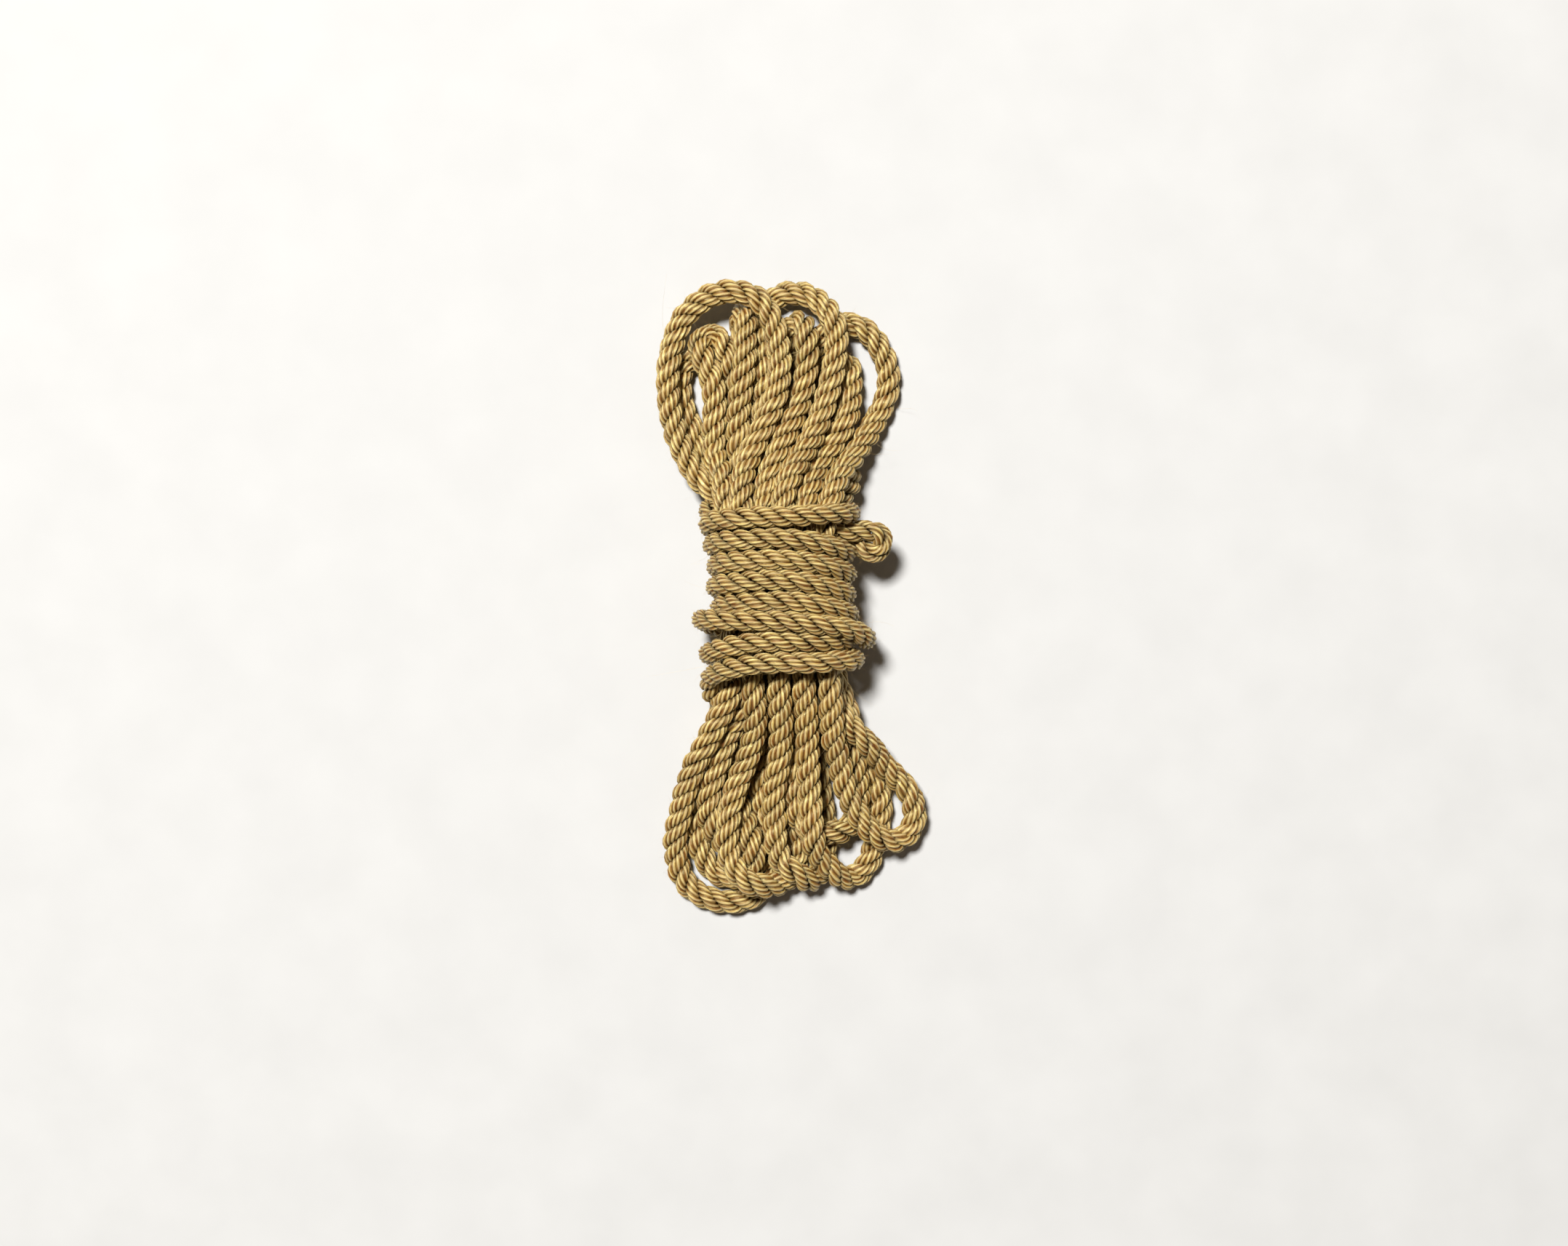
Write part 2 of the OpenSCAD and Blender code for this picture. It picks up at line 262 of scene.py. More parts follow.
# The eight turns, first wound first: Y at the left side, on top and at the right side, the middle's
# X, half the width and half the height of the rope's centreline.
TURNS = [
    (-0.0250, -0.0195, -0.0190, -0.0033, 0.0222, 0.0165),
    (-0.0180, -0.0132, -0.0135, -0.0055, 0.0214, 0.0165),
    (-0.0070, -0.0073, -0.0135, -0.0038, 0.0252, 0.0175),
    (-0.0020, -0.0010, -0.0055, -0.0023, 0.0192, 0.0165),
    (0.0030, 0.0050, 0.0010, -0.0042, 0.0200, 0.0165),
    (0.0100, 0.0110, 0.0067, -0.0038, 0.0200, 0.0165),
    (0.0167, 0.0173, 0.0130, -0.0048, 0.0204, 0.0165),
    (0.0232, 0.0243, 0.0262, -0.0043, 0.0214, 0.0165),
]

# The rope's end goes round the left side, through the gathered runs, out on the right and back in.
TUCK = [
    (-0.019, 0.0285, 0.0045), (-0.0255, 0.0295, 0.010), (-0.025, 0.0265, 0.018), (-0.015, 0.022, 0.020),
    (0.000, 0.021, 0.021), (0.012, 0.0205, 0.0225), (0.019, 0.0205, 0.0220), (0.0235, 0.0206, 0.021),
    (0.0272, 0.0196, 0.0203), (0.0286, 0.0170, 0.0200), (0.0270, 0.0142, 0.0194),
    (0.0235, 0.0134, 0.0190), (0.0195, 0.0146, 0.0180), (0.0155, 0.0172, 0.0165),
    (0.008, 0.0192, 0.0165), (0.000, 0.019, 0.017), (-0.008, 0.0185, 0.017),
]

# The rope's whipped first end, before its route begins
START_END = [(-0.008, 0.053, 0.003), (-0.0125, 0.053, 0.003)]


# Ring by ring: the centreline, the rope's diameter, the distance along it and two side directions
Rope = namedtuple("Rope", "line thick along side up")
# A strand's surface points, each one's distance from the rope's middle (1 is its radius), and the
# strand's own middle
Strand = namedtuple("Strand", "points outward middle")


# ---------------------------------------------------------------- the camera

def make_camera():
    """Straight down, far enough away for the hank to take half the picture's height."""
    picture_w = 0.4926  # width of the view at the height of the hank's upper runs
    picture_x = -0.0032  # the view's middle
    picture_y = -0.0081
    upper_runs_z = 0.015
    data = bpy.data.cameras.new("camera")
    data.lens = 50.0
    data.sensor_width = 36.0
    camera = bpy.data.objects.new("camera", data)
    above = picture_w * data.lens / data.sensor_width
    camera.location = (picture_x, picture_y, upper_runs_z + above)
    bpy.context.scene.collection.objects.link(camera)
    bpy.context.scene.camera = camera


# ---------------------------------------------------------------- the centreline

def laid(route, side):
    """A bight's route in the frame: side is 1 at the top and -1 at the bottom."""
    return [(x, side * (WRAP_END + out), lift + ROPE_D / 2) for x, out, lift in route]


def squarish(part):
    """A cosine or sine with its curve made fuller, for an outline between an ellipse and a box."""
    return math.copysign(abs(part) ** ROUNDNESS, part)


def turn_points():
    """The eight turns: over the top from left to right, and back underneath to the next turn."""
    points = []
    half = TURN_STEPS // 2
    quarter = half // 2
    for k, (left, top, right, *shape) in enumerate(TURNS):
        last = k == len(TURNS) - 1
        next_left = TUCK[0][1] if last else TURNS[k + 1][0]
        next_shape = shape if last else TURNS[k + 1][3:]
        for i in range(LAST_TURN_STEPS if last else TURN_STEPS):
            angle = math.pi - i * 2 * math.pi / TURN_STEPS
            onward = max(0, i / half - 1)
            middle, half_w, half_h = (a + (b - a) * onward for a, b in zip(shape, next_shape))
            x = middle + half_w * squarish(math.cos(angle))
            y = np.interp(i, [0, quarter, half, TURN_STEPS], [left, top, right, next_left])
            z = WRAP_MIDDLE_Z + half_h * squarish(math.sin(angle))
            points.append((x, y, z))
    return points


def rope_route():
    """All the rope's points in order, and 1 for each that is in the wrapping and 0 for the others."""
    stretches = [laid(START_END + START_TAIL, -1)]
    for k, top in enumerate(TOP_BIGHTS):
        stretches.append(laid(top, 1))
        if k < len(BOTTOM_BIGHTS):
            stretches.append(laid(BOTTOM_BIGHTS[k], -1))
    stretches.append(laid(WRAP_LEAD, -1))
    points = []
    for stretch in stretches:
        if points:  # the run through the wrapping, from the last stretch's end to this one's start
            a = np.array(points[-1])
            b = np.array(stretch[0])
            points += [tuple(a + (b - a) * t) for t in (1 / 3, 2 / 3)]
        points += stretch
    free = len(points)
    points += turn_points() + TUCK
    return np.array(points), np.repeat([0.0, 1.0], [free, len(points) - free])


def smooth_line(points, steps=16):
    """A centripetal Catmull-Rom line through the points, and each of its points' place in them."""
    ends = np.vstack([2 * points[0] - points[1], points, 2 * points[-1] - points[-2]])
    share = np.linspace(0, 1, steps, endpoint=False)[:, None]
    line = []
    place = []
    # between p1 and p2, a row of blends of the points, of those blends, and of theirs again
    for i in range(1, len(ends) - 2):
        p0, p1, p2, p3 = ends[i - 1 : i + 3]
        t1 = math.sqrt(np.linalg.norm(p1 - p0))
        t2 = t1 + math.sqrt(np.linalg.norm(p2 - p1))
        t3 = t2 + math.sqrt(np.linalg.norm(p3 - p2))
        t = t1 + (t2 - t1) * share
        a1 = (t1 - t) / t1 * p0 + t / t1 * p1
        a2 = (t2 - t) / (t2 - t1) * p1 + (t - t1) / (t2 - t1) * p2
        a3 = (t3 - t) / (t3 - t2) * p2 + (t - t2) / (t3 - t2) * p3
        b1 = (t2 - t) / t2 * a1 + t / t2 * a2
        b2 = (t3 - t) / (t3 - t1) * a2 + (t - t1) / (t3 - t1) * a3
        line.append((t2 - t) / (t2 - t1) * b1 + (t - t1) / (t2 - t1) * b2)
        place.append(i - 1 + share[:, 0])
    line.append(points[-1:])
    place.append([len(points) - 1])
    return np.vstack(line), np.concatenate(place)


def lengths(line):
    """Distance along the line to each of its points."""
    return np.concatenate([[0], np.cumsum(np.linalg.norm(np.diff(line, axis=0), axis=1))])


def evenly(line, step, values):
    """The line with points a step apart, and the values at them."""
    along = lengths(line)
    at = np.linspace(0, along[-1], int(round(along[-1] / step)) + 1)
    spaced = np.stack([np.interp(at, along, line[:, k]) for k in range(3)], axis=1)
    return spaced, np.interp(at, along, values)


def blurred(values, reach):
    """Values along the rope, each blended with its neighbours up to about reach places away."""
    at = np.arange(-2 * reach, 2 * reach + 1)
    weights = np.exp(-0.5 * (at / reach) ** 2)
    padded = np.pad(values, 2 * reach, mode="edge")
    return np.convolve(padded, weights / weights.sum(), mode="valid")


def push_apart(line, a, b, touch):
    """Parts the pairs of points that are nearer than touch. a and b are the pairs' places in line."""
    gap = line[a] - line[b]
    far = np.linalg.norm(gap, axis=1) + 1e-9  # never zero
    over = np.maximum(touch - far, 0)
    push = gap * (over / far / 2)[:, None]
    hit = over > 0
    count = np.bincount(a[hit], minlength=len(line)) + np.bincount(b[hit], minlength=len(line))
    for k in range(3):
        moved = np.bincount(a, push[:, k], len(line)) - np.bincount(b, push[:, k], len(line))
        line[:, k] += PUSH_SHARE * moved / np.maximum(count, 1)


def keep_length(line, spacing):
    """Draws neighbours in the chain back to their spacing."""
    for _ in range(STRETCH_ROUNDS):
        step = np.diff(line, axis=0)
        long = np.linalg.norm(step, axis=1)
        fix = step * (STRETCH_SHARE * (long - spacing) / long)[:, None]
        line[:-1] += fix
        line[1:] -= fix


def settled(line, thick, wound):
    """Presses the rope's runs apart and lets them down on each other, close to the route.

    The rope is a chain of points. In each round, points nearer to each other than the rope is thick
    are pushed apart, the free ones sink a little, all are drawn to the route, and the chain is
    brought back to its length and smoothness. The wrapping hardly moves, because it is tight.
    """
    home = line.copy()
    spacing = np.linalg.norm(np.diff(line, axis=0), axis=1)
    first, second = np.triu_indices(len(line), 2)
    bend = TIGHTEST * (thick[first] + thick[second]) / 2
    half_arc = (second - first) * SETTLE_STEP / (2 * bend)
    room = 2 * bend * np.sin(np.minimum(half_arc, math.pi / 2))  # across the tightest bend
    whipped_start = np.arange(len(line)) * SETTLE_STEP < WHIP_L + ROPE_D / 2
    lowest = thick / 2 + 2 * TWINE_R * whipped_start
    sideways = PULL_SIDEWAYS + PULL_WOUND * wound
    pull = np.stack([sideways, sideways, PULL_HEIGHT + PULL_WOUND * wound], axis=1)
    sink = SINK * (1 - wound)
    for turn in range(SETTLE_ROUNDS):
        if turn % SEARCH_EVERY == 0:
            gap = line[first] - line[second]
            near = (gap**2).sum(1) < (np.minimum(room, ROPE_D) + SEARCH_MARGIN) ** 2
            a = first[near]
            b = second[near]
            touch = np.minimum((thick[a] + thick[b]) / 2, room[near])
        push_apart(line, a, b, touch)
        line[:, 2] -= sink
        line += (home - line) * pull
        keep_length(line, spacing)
        line[1:-1] += SMOOTH_SHARE * ((line[:-2] + line[2:]) / 2 - line[1:-1])
        line[:, 2] = np.maximum(line[:, 2], lowest)
    return line


def rope_centreline():
    """The settled centreline with points RING_STEP apart, and the rope's diameter at each."""
    points, wound = rope_route()
    line, place = smooth_line(points)
    line, place = evenly(line, SETTLE_STEP, place)
    wound = (np.interp(place, np.arange(len(wound)), wound) > 0.5).astype(float)
    thick = np.full(len(line), ROPE_D)
    thick[np.abs(line[:, 1]) < WRAP_END] = GATHERED_D
    thick[wound > 0] = WOUND_D
    line = settled(line, thick, wound)
    fine, place = smooth_line(line, steps=4)
    thick = np.interp(place, np.arange(len(thick)), thick)
    fine, thick = evenly(fine, RING_STEP, thick)
    fine = np.stack([blurred(fine[:, k], reach=2) for k in range(3)], axis=1)
    return fine, blurred(thick, reach=6)


def whipped(thick):
    """The diameters with both ends squeezed by their whippings."""
    share = np.ones(len(thick))
    share[:WHIP_RINGS] = WHIPPED_SHARE
    share[-WHIP_RINGS:] = WHIPPED_SHARE
    return thick * blurred(share, reach=1)


def carried_frame(line):
    """The line's directions, and two side directions that are carried along it without twisting."""
    ahead = np.gradient(line, axis=0)
    ahead /= np.linalg.norm(ahead, axis=1)[:, None]
    side = np.empty_like(ahead)
    side[0] = np.cross(ahead[0], (0, 0, 1))
    side[0] /= np.linalg.norm(side[0])
    for i in range(1, len(line)):
        s = side[i - 1] - ahead[i] * side[i - 1].dot(ahead[i])
        side[i] = s / math.sqrt(s.dot(s))
    return ahead, side, np.cross(ahead, side)


# ---------------------------------------------------------------- meshes

def new_piece(name, points, faces, material, uvs=None, values=None):
    """A smooth-shaded mesh object made from arrays: each of faces is an array with a row per face."""
    mesh = bpy.data.meshes.new(name)
    corners = np.concatenate([f.ravel() for f in faces]).astype(np.int32)
    sizes = np.concatenate([np.full(len(f), f.shape[1]) for f in faces])
    starts = np.concatenate([[0], np.cumsum(sizes)[:-1]]).astype(np.int32)
    mesh.vertices.add(len(points))
    mesh.vertices.foreach_set("co", points.astype(np.float32).ravel())
    mesh.loops.add(len(corners))
    mesh.loops.foreach_set("vertex_index", corners)
    mesh.polygons.add(len(sizes))
    mesh.polygons.foreach_set("loop_start", starts)
    mesh.polygons.foreach_set("use_smooth", np.ones(len(sizes), dtype=bool))
    if uvs is not None:
        layer = mesh.uv_layers.new(name="along_yarns")
        layer.data.foreach_set("uv", uvs.astype(np.float32).ravel())
    for label, value in (values or {}).items():
        attribute = mesh.attributes.new(label, "FLOAT", "POINT")
        attribute.data.foreach_set("value", value.astype(np.float32))
    mesh.update(calc_edges=True)
    mesh.validate()
    mesh.materials.append(material)
    piece = bpy.data.objects.new(name, mesh)
    bpy.context.scene.collection.objects.link(piece)
    return piece


def grid_faces(rings, columns):
    """Faces between neighbouring rings of points; the last column joins the first."""
    i = np.arange(rings - 1)[:, None] * columns
    j = np.arange(columns)[None, :]
    k = (j + 1) % columns
    return np.stack([i + j, i + k, i + columns + k, i + columns + j], axis=-1).reshape(-1, 4)


def wander(rng, along, step, size):
    """A smooth random value along the rope: about size large, with a new turn at every step."""
    knots = rng.normal(0, size, int(along[-1] / step) + 4)
    at = along / step
    i = at.astype(int)
    t = at - i
    t = t * t * (3 - 2 * t)
    return knots[i] * (1 - t) + knots[i + 1] * t


def yarn_wander(rng, along, step, size):
    """A wander of its own for each yarn, the same in all the yarn's columns of points."""
    each = np.stack([wander(rng, along, step, size) for _ in range(YARNS)], axis=1)
    return np.repeat(each, YARN_STEPS, axis=1)


def strand_line(k, rope):
    """The middle of strand k, and its direction out of the rope."""
    angle = 2 * math.pi * (rope.along / LAY + k / STRANDS)
    out = np.cos(angle)[:, None] * rope.side + np.sin(angle)[:, None] * rope.up
    return rope.line + HELIX_R * rope.thick[:, None] * out, out


def strand_surface(k, rope, rng):
    """Points on strand k, ring by ring, with the yarns' grooves and unevenness.

    Returns the points, how far each stands up between its yarn's grooves (0 to 1), how far along
    its strand each ring is, and the strand's middle. A column of points follows its yarn.
    """
    middle, out = strand_line(k, rope)
    ahead = np.gradient(middle, axis=0)
    ahead /= np.linalg.norm(ahead, axis=1)[:, None]
    out = out - ahead * (out * ahead).sum(1)[:, None]
    out /= np.linalg.norm(out, axis=1)[:, None]
    across = np.cross(ahead, out)
    strand_along = lengths(middle)
    columns = YARNS * YARN_STEPS
    column = np.arange(columns)
    crown = np.sin(math.pi * ((column % YARN_STEPS) / YARN_STEPS))
    turned = strand_along / YARN_PITCH + wander(rng, rope.along, *TWIST_WANDER)
    share = column[None, :] / columns + yarn_wander(rng, rope.along, *PLACE_WANDER)
    angle = 2 * math.pi * (share - turned[:, None])
    uneven = yarn_wander(rng, rope.along, *YARN_WANDER)
    swell = 1 + wander(rng, rope.along, *STRAND_WANDER)[:, None]
    r = swell * (1 + YARN_DEPTH * (crown[None, :] - 1) + uneven * crown)
    x = (r * np.cos(angle))[..., None] * out[:, None] * STRAND_OUT_R
    y = (r * np.sin(angle))[..., None] * across[:, None] * STRAND_SIDE_R
    points = middle[:, None] + (x + y) * rope.thick[:, None, None]
    return points, np.broadcast_to(crown, r.shape), strand_along, middle


def strand_faces(rings, columns):
    """A strand's wall and its two cut ends. The ends' middle points follow those of the rings."""
    around = np.arange(columns)
    following = np.roll(around, -1)
    start = rings * columns
    last = start - columns
    first_cap = np.stack([following, around, np.full(columns, start)], axis=1)
    last_cap = np.stack([last + around, last + following, np.full(columns, start + 1)], axis=1)
    return [grid_faces(rings, columns), first_cap, last_cap]


def strand_uvs(k, strand_along, columns):
    """UVs for strand_faces: cm along the strand and turns round it. No two strands share theirs."""
    u = np.repeat(strand_along[:, None] * 100, columns + 1, axis=1)
    v = np.broadcast_to(3 * k + np.arange(columns + 1) / columns, u.shape)
    uv = np.stack([u, v], axis=-1)
    i, j = np.divmod(np.arange((len(uv) - 1) * columns), columns)
    wall = np.stack([uv[i, j], uv[i, j + 1], uv[i + 1, j + 1], uv[i + 1, j]], axis=1)
    around = np.arange(columns)
    caps = [uv[end, np.stack([around, around + 1, around], axis=1)] for end in (0, -1)]
    return np.concatenate([wall.reshape(-1, 2), np.concatenate(caps).reshape(-1, 2)])


def make_strand(k, rope, material, rng):
    """One strand, closed at its cut ends: its piece, and the surface that loose fibres grow from."""
    points, crown, strand_along, middle = strand_surface(k, rope, rng)
    points[..., 2] = np.maximum(points[..., 2], 0.0)
    outward = np.linalg.norm(points - rope.line[:, None], axis=2) / (rope.thick[:, None] / 2)
    piece = new_piece(
        f"strand_{k + 1}",
        np.vstack([points.reshape(-1, 3), middle[:1], middle[-1:]]),
        strand_faces(*crown.shape),
        material,
        strand_uvs(k, strand_along, crown.shape[1]),
        {"crown": np.append(crown.ravel(), [1, 1]), "outward": np.append(outward.ravel(), [1, 1])},
    )
    return piece, Strand(points, outward, middle)


# ---------------------------------------------------------------- loose fibres and whippings

def hair_mesh(name, roots, leans, bends, curls, radius, steps, material):
    """Thin hairs as one mesh. A hair goes off along its lean, bends away towards its tip, and swings
    out by its curl on one side and then on the other, all in metres.
    """
    skew = (0.0003, 0.0005, 0.0008)  # keeps a bend from lying along its lean
    share = np.linspace(0, 1, steps)[None, :, None]
    side = np.cross(leans, bends + skew)
    side /= np.linalg.norm(side, axis=1)[:, None]
    wave = np.sin(2 * math.pi * share) * (side * curls[:, None])[:, None]
    middle = roots[:, None] + share * leans[:, None] + share**2 * bends[:, None] + wave
    middle[..., 2] = np.maximum(middle[..., 2], radius)
    ahead = leans / np.linalg.norm(leans, axis=1)[:, None]
    up = np.cross(ahead, side)
    thin = radius * (1 - HAIR_TAPER * share)
    corners = []
    for k in range(HAIR_SIDES):
        angle = 2 * math.pi * k / HAIR_SIDES
        corners.append(middle + (math.cos(angle) * side + math.sin(angle) * up)[:, None] * thin)
    points = np.stack(corners, axis=2).reshape(-1, 3)
    one = grid_faces(steps, HAIR_SIDES)
    firsts = np.arange(len(roots)) * steps * HAIR_SIDES
    faces = (one[None] + firsts[:, None, None]).reshape(-1, 4)
    return new_piece(name, points, [faces], material)


def rooted(strands, count, rng):
    """Random places on the outside of the rope: the point, the way out, and the way along."""
    roots = []
    outs = []
    aheads = []
    for points, outward, middle in strands:
        shown = np.flatnonzero((outward > OUTSIDE).ravel())
        pick = rng.choice(shown, count)
        ring = pick // outward.shape[1]
        inner_ring = np.clip(ring, 1, len(middle) - 2)
        root = points.reshape(-1, 3)[pick]
        out = root - middle[ring]
        ahead = middle[inner_ring + 1] - middle[inner_ring - 1]
        roots.append(root)
        outs.append(out / np.linalg.norm(out, axis=1)[:, None])
        aheads.append(ahead / np.linalg.norm(ahead, axis=1)[:, None])
    return np.vstack(roots), np.vstack(outs), np.vstack(aheads)


def make_fuzz(strands, material, rng):
    """Short fibre ends that stand off the rope all over, more or less along it."""
    roots, outs, aheads = rooted(strands, FUZZ_COUNT, rng)
    n = len(roots)
    long = rng.uniform(*FUZZ_LENGTHS, n)[:, None]
    way = rng.choice([-1, 1], n)[:, None] * rng.uniform(0.2, 1.0, n)[:, None]
    # somewhat outwards, forwards or back along the rope, and partly at random
    leans = (0.45 * outs + way * aheads + rng.normal(0, 0.3, (n, 3))) * long
    bends = (rng.normal(0, 0.25, (n, 3)) - 0.1 * outs) * long
    curls = 0.05 * long[:, 0]
    return hair_mesh("fuzz", roots, leans, bends, curls, FUZZ_R, FUZZ_STEPS, material)


def make_stray_hairs(strands, material, rng):
    """A few long fibres that have worked loose and curl away from the rope."""
    roots, outs, aheads = rooted(strands, STRAY_COUNT, rng)
    n = len(roots)
    long = rng.uniform(*STRAY_LENGTHS, n)[:, None]
    way = rng.choice([-1, 1], n)[:, None]
    # mostly forwards or back along the rope, with the tips drooping
    leans = (0.3 * outs + 0.8 * way * aheads + rng.normal(0, 0.2, (n, 3))) * long
    bends = (rng.normal(0, 0.45, (n, 3)) - (0, 0, 0.25)) * long
    curls = rng.uniform(0.03, 0.1, n) * long[:, 0]
    return hair_mesh("stray_hairs", roots, leans, bends, curls, STRAY_R, STRAY_STEPS, material)


def between_rings(at, vectors):
    """One of the rope's vectors at places between its rings."""
    rings = np.arange(len(vectors))
    return np.stack([np.interp(at, rings, vectors[:, k]) for k in range(3)], axis=1)


def twine_coil(name, rope, first, last, material):
    """Twine wound round the rope between two of its rings, each turn beside the one before."""
    turns = (last - first) * RING_STEP / (2 * TWINE_R * TWINE_TIGHT)
    at = np.linspace(first, last, int(turns * TWINE_TURN_STEPS))
    turned = 2 * math.pi * turns * (at - first) / (last - first)
    side = between_rings(at, rope.side)
    up = between_rings(at, rope.up)
    out = np.cos(turned)[:, None] * side + np.sin(turned)[:, None] * up
    rope_r = np.interp(at, np.arange(len(rope.thick)), rope.thick) / 2
    middle = between_rings(at, rope.line) + out * (rope_r + TWINE_SEAT * TWINE_R)[:, None]
    _, across, above = carried_frame(middle)
    column = np.arange(TWINE_SIDES)
    angle = (2 * math.pi * column / TWINE_SIDES)[None, :]
    twist = (2 * math.pi * lengths(middle) / TWINE_TWIST)[:, None]
    r = TWINE_R * (1 - TWINE_RIDGE + TWINE_RIDGE * np.abs(np.cos(angle - twist)))
    ring = np.cos(angle)[..., None] * across[:, None] + np.sin(angle)[..., None] * above[:, None]
    points = middle[:, None] + r[..., None] * ring
    faces = grid_faces(len(middle), TWINE_SIDES)
    caps = [column[::-1][None], (len(middle) - 1) * TWINE_SIDES + column[None]]
    return new_piece(name, points.reshape(-1, 3), [faces, *caps], material)


# ---------------------------------------------------------------- materials

class Nodes:
    """Short calls that add nodes to a new material and link them."""

    def __init__(self, name):
        self.material = bpy.data.materials.new(name)
        self.material.use_nodes = True
        self.tree = self.material.node_tree
        self.shader = self.tree.nodes["Principled BSDF"]

    def add(self, kind, **settings):
        node = self.tree.nodes.new(kind)
        for key, value in settings.items():
            setattr(node, key, value)
        return node

    def put(self, node, socket, value):
        """Sets a node's input, to a number or colour or to another node's output."""
        if isinstance(value, bpy.types.NodeSocket):
            self.tree.links.new(value, node.inputs[socket])
        else:
            node.inputs[socket].default_value = value

    def place(self):
        """Where a point is in the object, in metres."""
        return self.add("ShaderNodeTexCoord").outputs["Object"]

    def uv(self, along, around):
        """Where a point is along its strand in cm, and round it, each scaled."""
        uv = self.add("ShaderNodeUVMap", uv_map="along_yarns")
        mapping = self.add("ShaderNodeMapping")
        self.put(mapping, "Vector", uv.outputs["UV"])
        self.put(mapping, "Scale", (along, around, 1))
        return mapping.outputs["Vector"]

    def noise(self, vector, scale=1.0, detail=2.0, roughness=0.5):
        node = self.add("ShaderNodeTexNoise")
        self.put(node, "Vector", vector)
        self.put(node, "Scale", scale)
        self.put(node, "Detail", detail)
        self.put(node, "Roughness", roughness)
        return node.outputs["Fac"]

    def spread(self, value, low, high, to_low=0.0, to_high=1.0):
        """The value from low to high, stretched to another range and kept within it."""
        node = self.add("ShaderNodeMapRange")
        self.put(node, "Value", value)
        self.put(node, "From Min", low)
        self.put(node, "From Max", high)
        self.put(node, "To Min", to_low)
        self.put(node, "To Max", to_high)
        return node.outputs["Result"]

    def mix(self, share, a, b):
        """Colour a where share is 0, and b where it is 1."""
        # by number, because the node's sockets for numbers, vectors and colours share their names
        node = self.add("ShaderNodeMix", data_type="RGBA")
        self.put(node, 0, share)
        self.put(node, 6, a)
        self.put(node, 7, b)
        return node.outputs[2]

    def attribute(self, name):
        return self.add("ShaderNodeAttribute", attribute_name=name).outputs["Fac"]

    def bump(self, height, distance, strength):
        node = self.add("ShaderNodeBump")
        self.put(node, "Height", height)
        self.put(node, "Distance", distance)
        self.put(node, "Strength", strength)
        return node.outputs["Normal"]


def linear(value):
    """One of a colour's values, 0 to 255 on screen, as the shader needs it."""
    if value > 10:
        return ((value / 255 + 0.055) / 1.055) ** 2.4
    return value / 3295  # near black the screen's curve is a straight line


def srgb(r, g, b):
    """A colour given as 0 to 255 on screen, as the shader needs it."""
    return linear(r), linear(g), linear(b), 1.0


def jute_material():
    """Combed jute: fine fibres along each yarn, straw to brown and glossy; painted highlights on the
    crowns and painted shade between.
    """
    n = Nodes("jute")
    fibres = n.noise(n.uv(3.5, 45.0), 1.0, 3.0, 0.7)
    tufts = n.noise(n.uv(3.2, 13.0), 1.0, 2.0, 0.6)
    patches = n.noise(n.place(), 70.0, 2.0)
    flecks = n.noise(n.uv(8.0, 30.0), 1.0, 1.0)
    # brown and straw tufts, then dark single fibres, golden patches and nearly black flecks
    colour = n.mix(n.spread(tufts, 0.36, 0.62), srgb(138, 80, 22), srgb(231, 203, 114))
    colour = n.mix(n.spread(fibres, 0.35, 0.65, 0.0, 0.65), colour, srgb(130, 72, 16))
    colour = n.mix(n.spread(patches, 0.4, 0.65, 0.0, 0.25), colour, srgb(184, 132, 44))
    colour = n.mix(n.spread(flecks, 0.66, 0.72, 0.0, 0.7), colour, srgb(80, 46, 20))
    # painted shade: dark in the grooves between yarns
    valley_shade = n.spread(n.attribute("crown"), 0.0, 0.85, 0.95, 0.0)
    colour = n.mix(valley_shade, colour, srgb(84, 34, 8))
    # painted highlight: pale on the yarns' crowns
    crest_highlight = n.spread(n.attribute("crown"), 0.7, 1.0, 0.0, 0.35)
    colour = n.mix(crest_highlight, colour, srgb(252, 243, 188))
    # painted shade: darkest where strands meet, deep in the rope
    inner_shade = n.spread(n.attribute("outward"), 0.55, 0.98, 0.92, 0.0)
    colour = n.mix(inner_shade, colour, srgb(42, 18, 7))
    n.put(n.shader, "Base Color", colour)
    n.put(n.shader, "Roughness", n.spread(tufts, 0.36, 0.62, 0.5, 0.36))
    n.put(n.shader, "IOR", 1.65)
    n.put(n.shader, "Specular IOR Level", 0.9)
    n.put(n.shader, "Specular Tint", srgb(255, 248, 186))
    n.put(n.shader, "Anisotropic", 0.6)
    n.put(n.shader, "Anisotropic Rotation", 0.25)  # the fibres run along the yarns
    tangent = n.add("ShaderNodeTangent", direction_type="UV_MAP", uv_map="along_yarns")
    n.put(n.shader, "Tangent", tangent.outputs["Tangent"])
    n.put(n.shader, "Normal", n.bump(fibres, 0.0003, 1.0))
    return n.material


def fibre_material(name, colour, dark):
    """Single loose fibres: pale, a little glossy and not quite the same colour all over."""
    n = Nodes(name)
    change = n.noise(n.place(), 400.0, 1.0)
    n.put(n.shader, "Base Color", n.mix(n.spread(change, 0.35, 0.65), colour, dark))
    n.put(n.shader, "Roughness", n.spread(change, 0.3, 0.7, 0.42, 0.55))
    n.put(n.shader, "Specular IOR Level", 0.2)
    return n.material


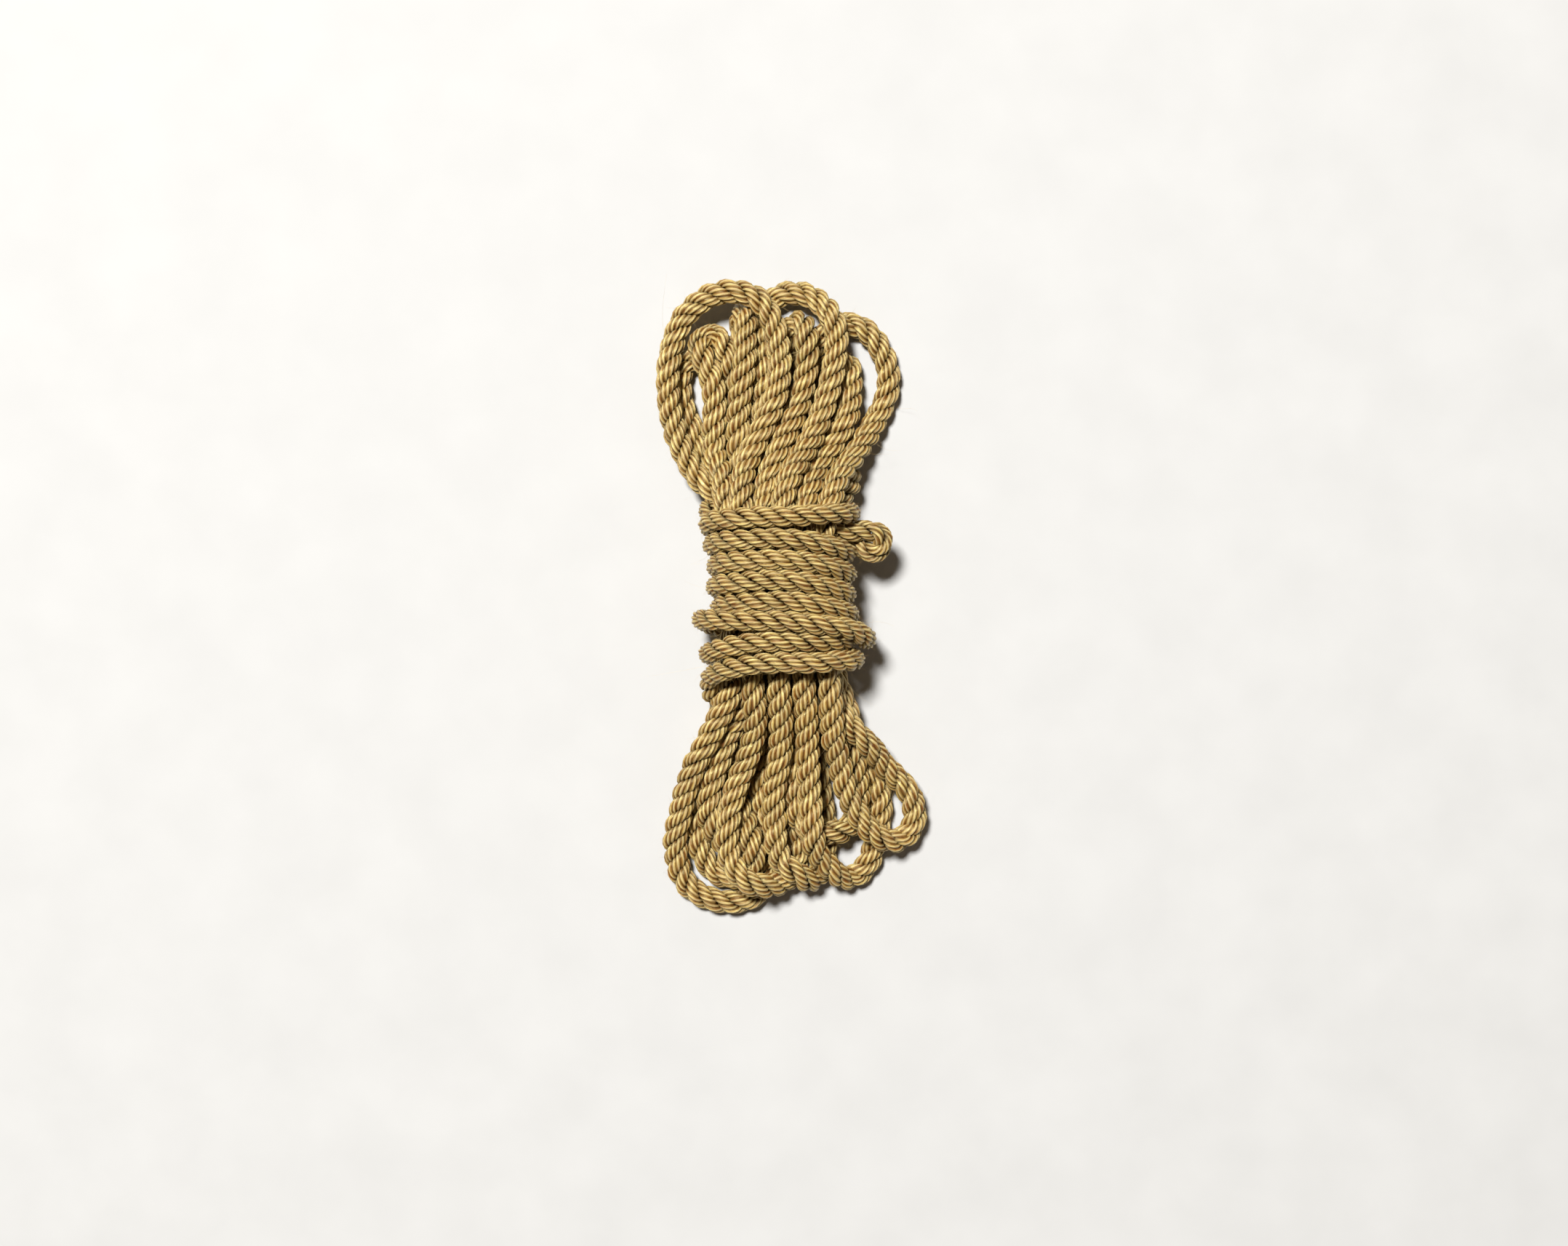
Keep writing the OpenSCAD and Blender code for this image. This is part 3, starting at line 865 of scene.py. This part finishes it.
def twine_material():
    """Pale waxed twine: fine fibres, and darker where the wax has taken up dirt."""
    n = Nodes("twine")
    place = n.place()
    fibres = n.noise(place, 2500.0, 3.0, 0.65)
    patches = n.noise(place, 250.0, 2.0)
    colour = n.mix(n.spread(fibres, 0.3, 0.7), srgb(196, 176, 132), srgb(234, 220, 184))
    colour = n.mix(n.spread(patches, 0.45, 0.7, 0.0, 0.5), colour, srgb(168, 142, 98))
    n.put(n.shader, "Base Color", colour)
    n.put(n.shader, "Roughness", n.spread(fibres, 0.3, 0.7, 0.65, 0.45))
    n.put(n.shader, "Sheen Weight", 0.2)
    n.put(n.shader, "Normal", n.bump(fibres, 0.0001, 0.6))
    return n.material


def floor_material():
    """A plain pale surface with the faintest unevenness."""
    n = Nodes("pale_floor")
    grain = n.noise(n.place(), 40.0, 3.0)
    colour = n.mix(n.spread(grain, 0.3, 0.7), srgb(188, 187, 184), srgb(193, 192, 189))
    n.put(n.shader, "Base Color", colour)
    n.put(n.shader, "Roughness", n.spread(grain, 0.3, 0.7, 0.75, 0.85))
    return n.material


# ---------------------------------------------------------------- light and surface

def make_key_light():
    """A soft square light that faces the hank's middle."""
    data = bpy.data.lights.new("key", "AREA")
    data.size = KEY_SIZE
    data.energy = KEY_POWER
    light = bpy.data.objects.new("key", data)
    light.location = KEY_PLACE
    light.rotation_euler = (-Vector(KEY_PLACE)).to_track_quat("-Z", "Y").to_euler()
    bpy.context.scene.collection.objects.link(light)


def make_studio():
    """The floor, the key light and an even, weak light from all round."""
    corners = FLOOR_HALF * np.array([(-1, -1, 0), (1, -1, 0), (1, 1, 0), (-1, 1, 0)])
    floor = new_piece("floor", corners, [np.array([[0, 1, 2, 3]])], floor_material())
    make_key_light()
    world = bpy.data.worlds.new("world")
    world.use_nodes = True
    background = world.node_tree.nodes["Background"]
    background.inputs["Color"].default_value = FILL_COLOUR
    background.inputs["Strength"].default_value = FILL_STRENGTH
    bpy.context.scene.world = world
    bpy.context.scene.view_settings.view_transform = "Standard"


# ---------------------------------------------------------------- the whole hank

def make_rope():
    """The rope's centreline, thickness and side directions, ring by ring."""
    line, thick = rope_centreline()
    _, side, up = carried_frame(line)
    return Rope(line, whipped(thick), lengths(line), side, up)


def make_fibres(strands, rng):
    """The loose fibres, short and long."""
    short_fibre = fibre_material("fuzz", srgb(214, 184, 120), srgb(158, 116, 60))
    long_fibre = fibre_material("stray_fibre", srgb(238, 218, 164), srgb(196, 162, 104))
    fuzz = make_fuzz(strands, short_fibre, rng)
    stray = make_stray_hairs(strands, long_fibre, rng)
    return [fuzz, stray]


def make_whippings(rope):
    """The twine on the rope's first end and on its last."""
    twine = twine_material()
    last = len(rope.line) - 1
    start_whipping = twine_coil("start_twine", rope, 1, WHIP_RINGS, twine)
    end_whipping = twine_coil("end_twine", rope, last - WHIP_RINGS, last - 1, twine)
    return [start_whipping, end_whipping]


def main():
    make_camera()
    rope = make_rope()
    jute = jute_material()
    rng = np.random.default_rng(SEED)
    made = [make_strand(k, rope, jute, rng) for k in range(STRANDS)]
    strands = [piece for piece, _ in made]
    fibres = make_fibres([surface for _, surface in made], rng)
    whippings = make_whippings(rope)

    whipping_nodes = ["start_whipping", "end_whipping"]
    rope_nodes = sorted(set(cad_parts) - set(whipping_nodes))
    for piece in strands:
        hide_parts(*rope_nodes)
    for piece, node in zip(whippings, whipping_nodes):
        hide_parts(node)
    for piece in strands + fibres + whippings:
        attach(piece, "root")
    make_studio()


main()
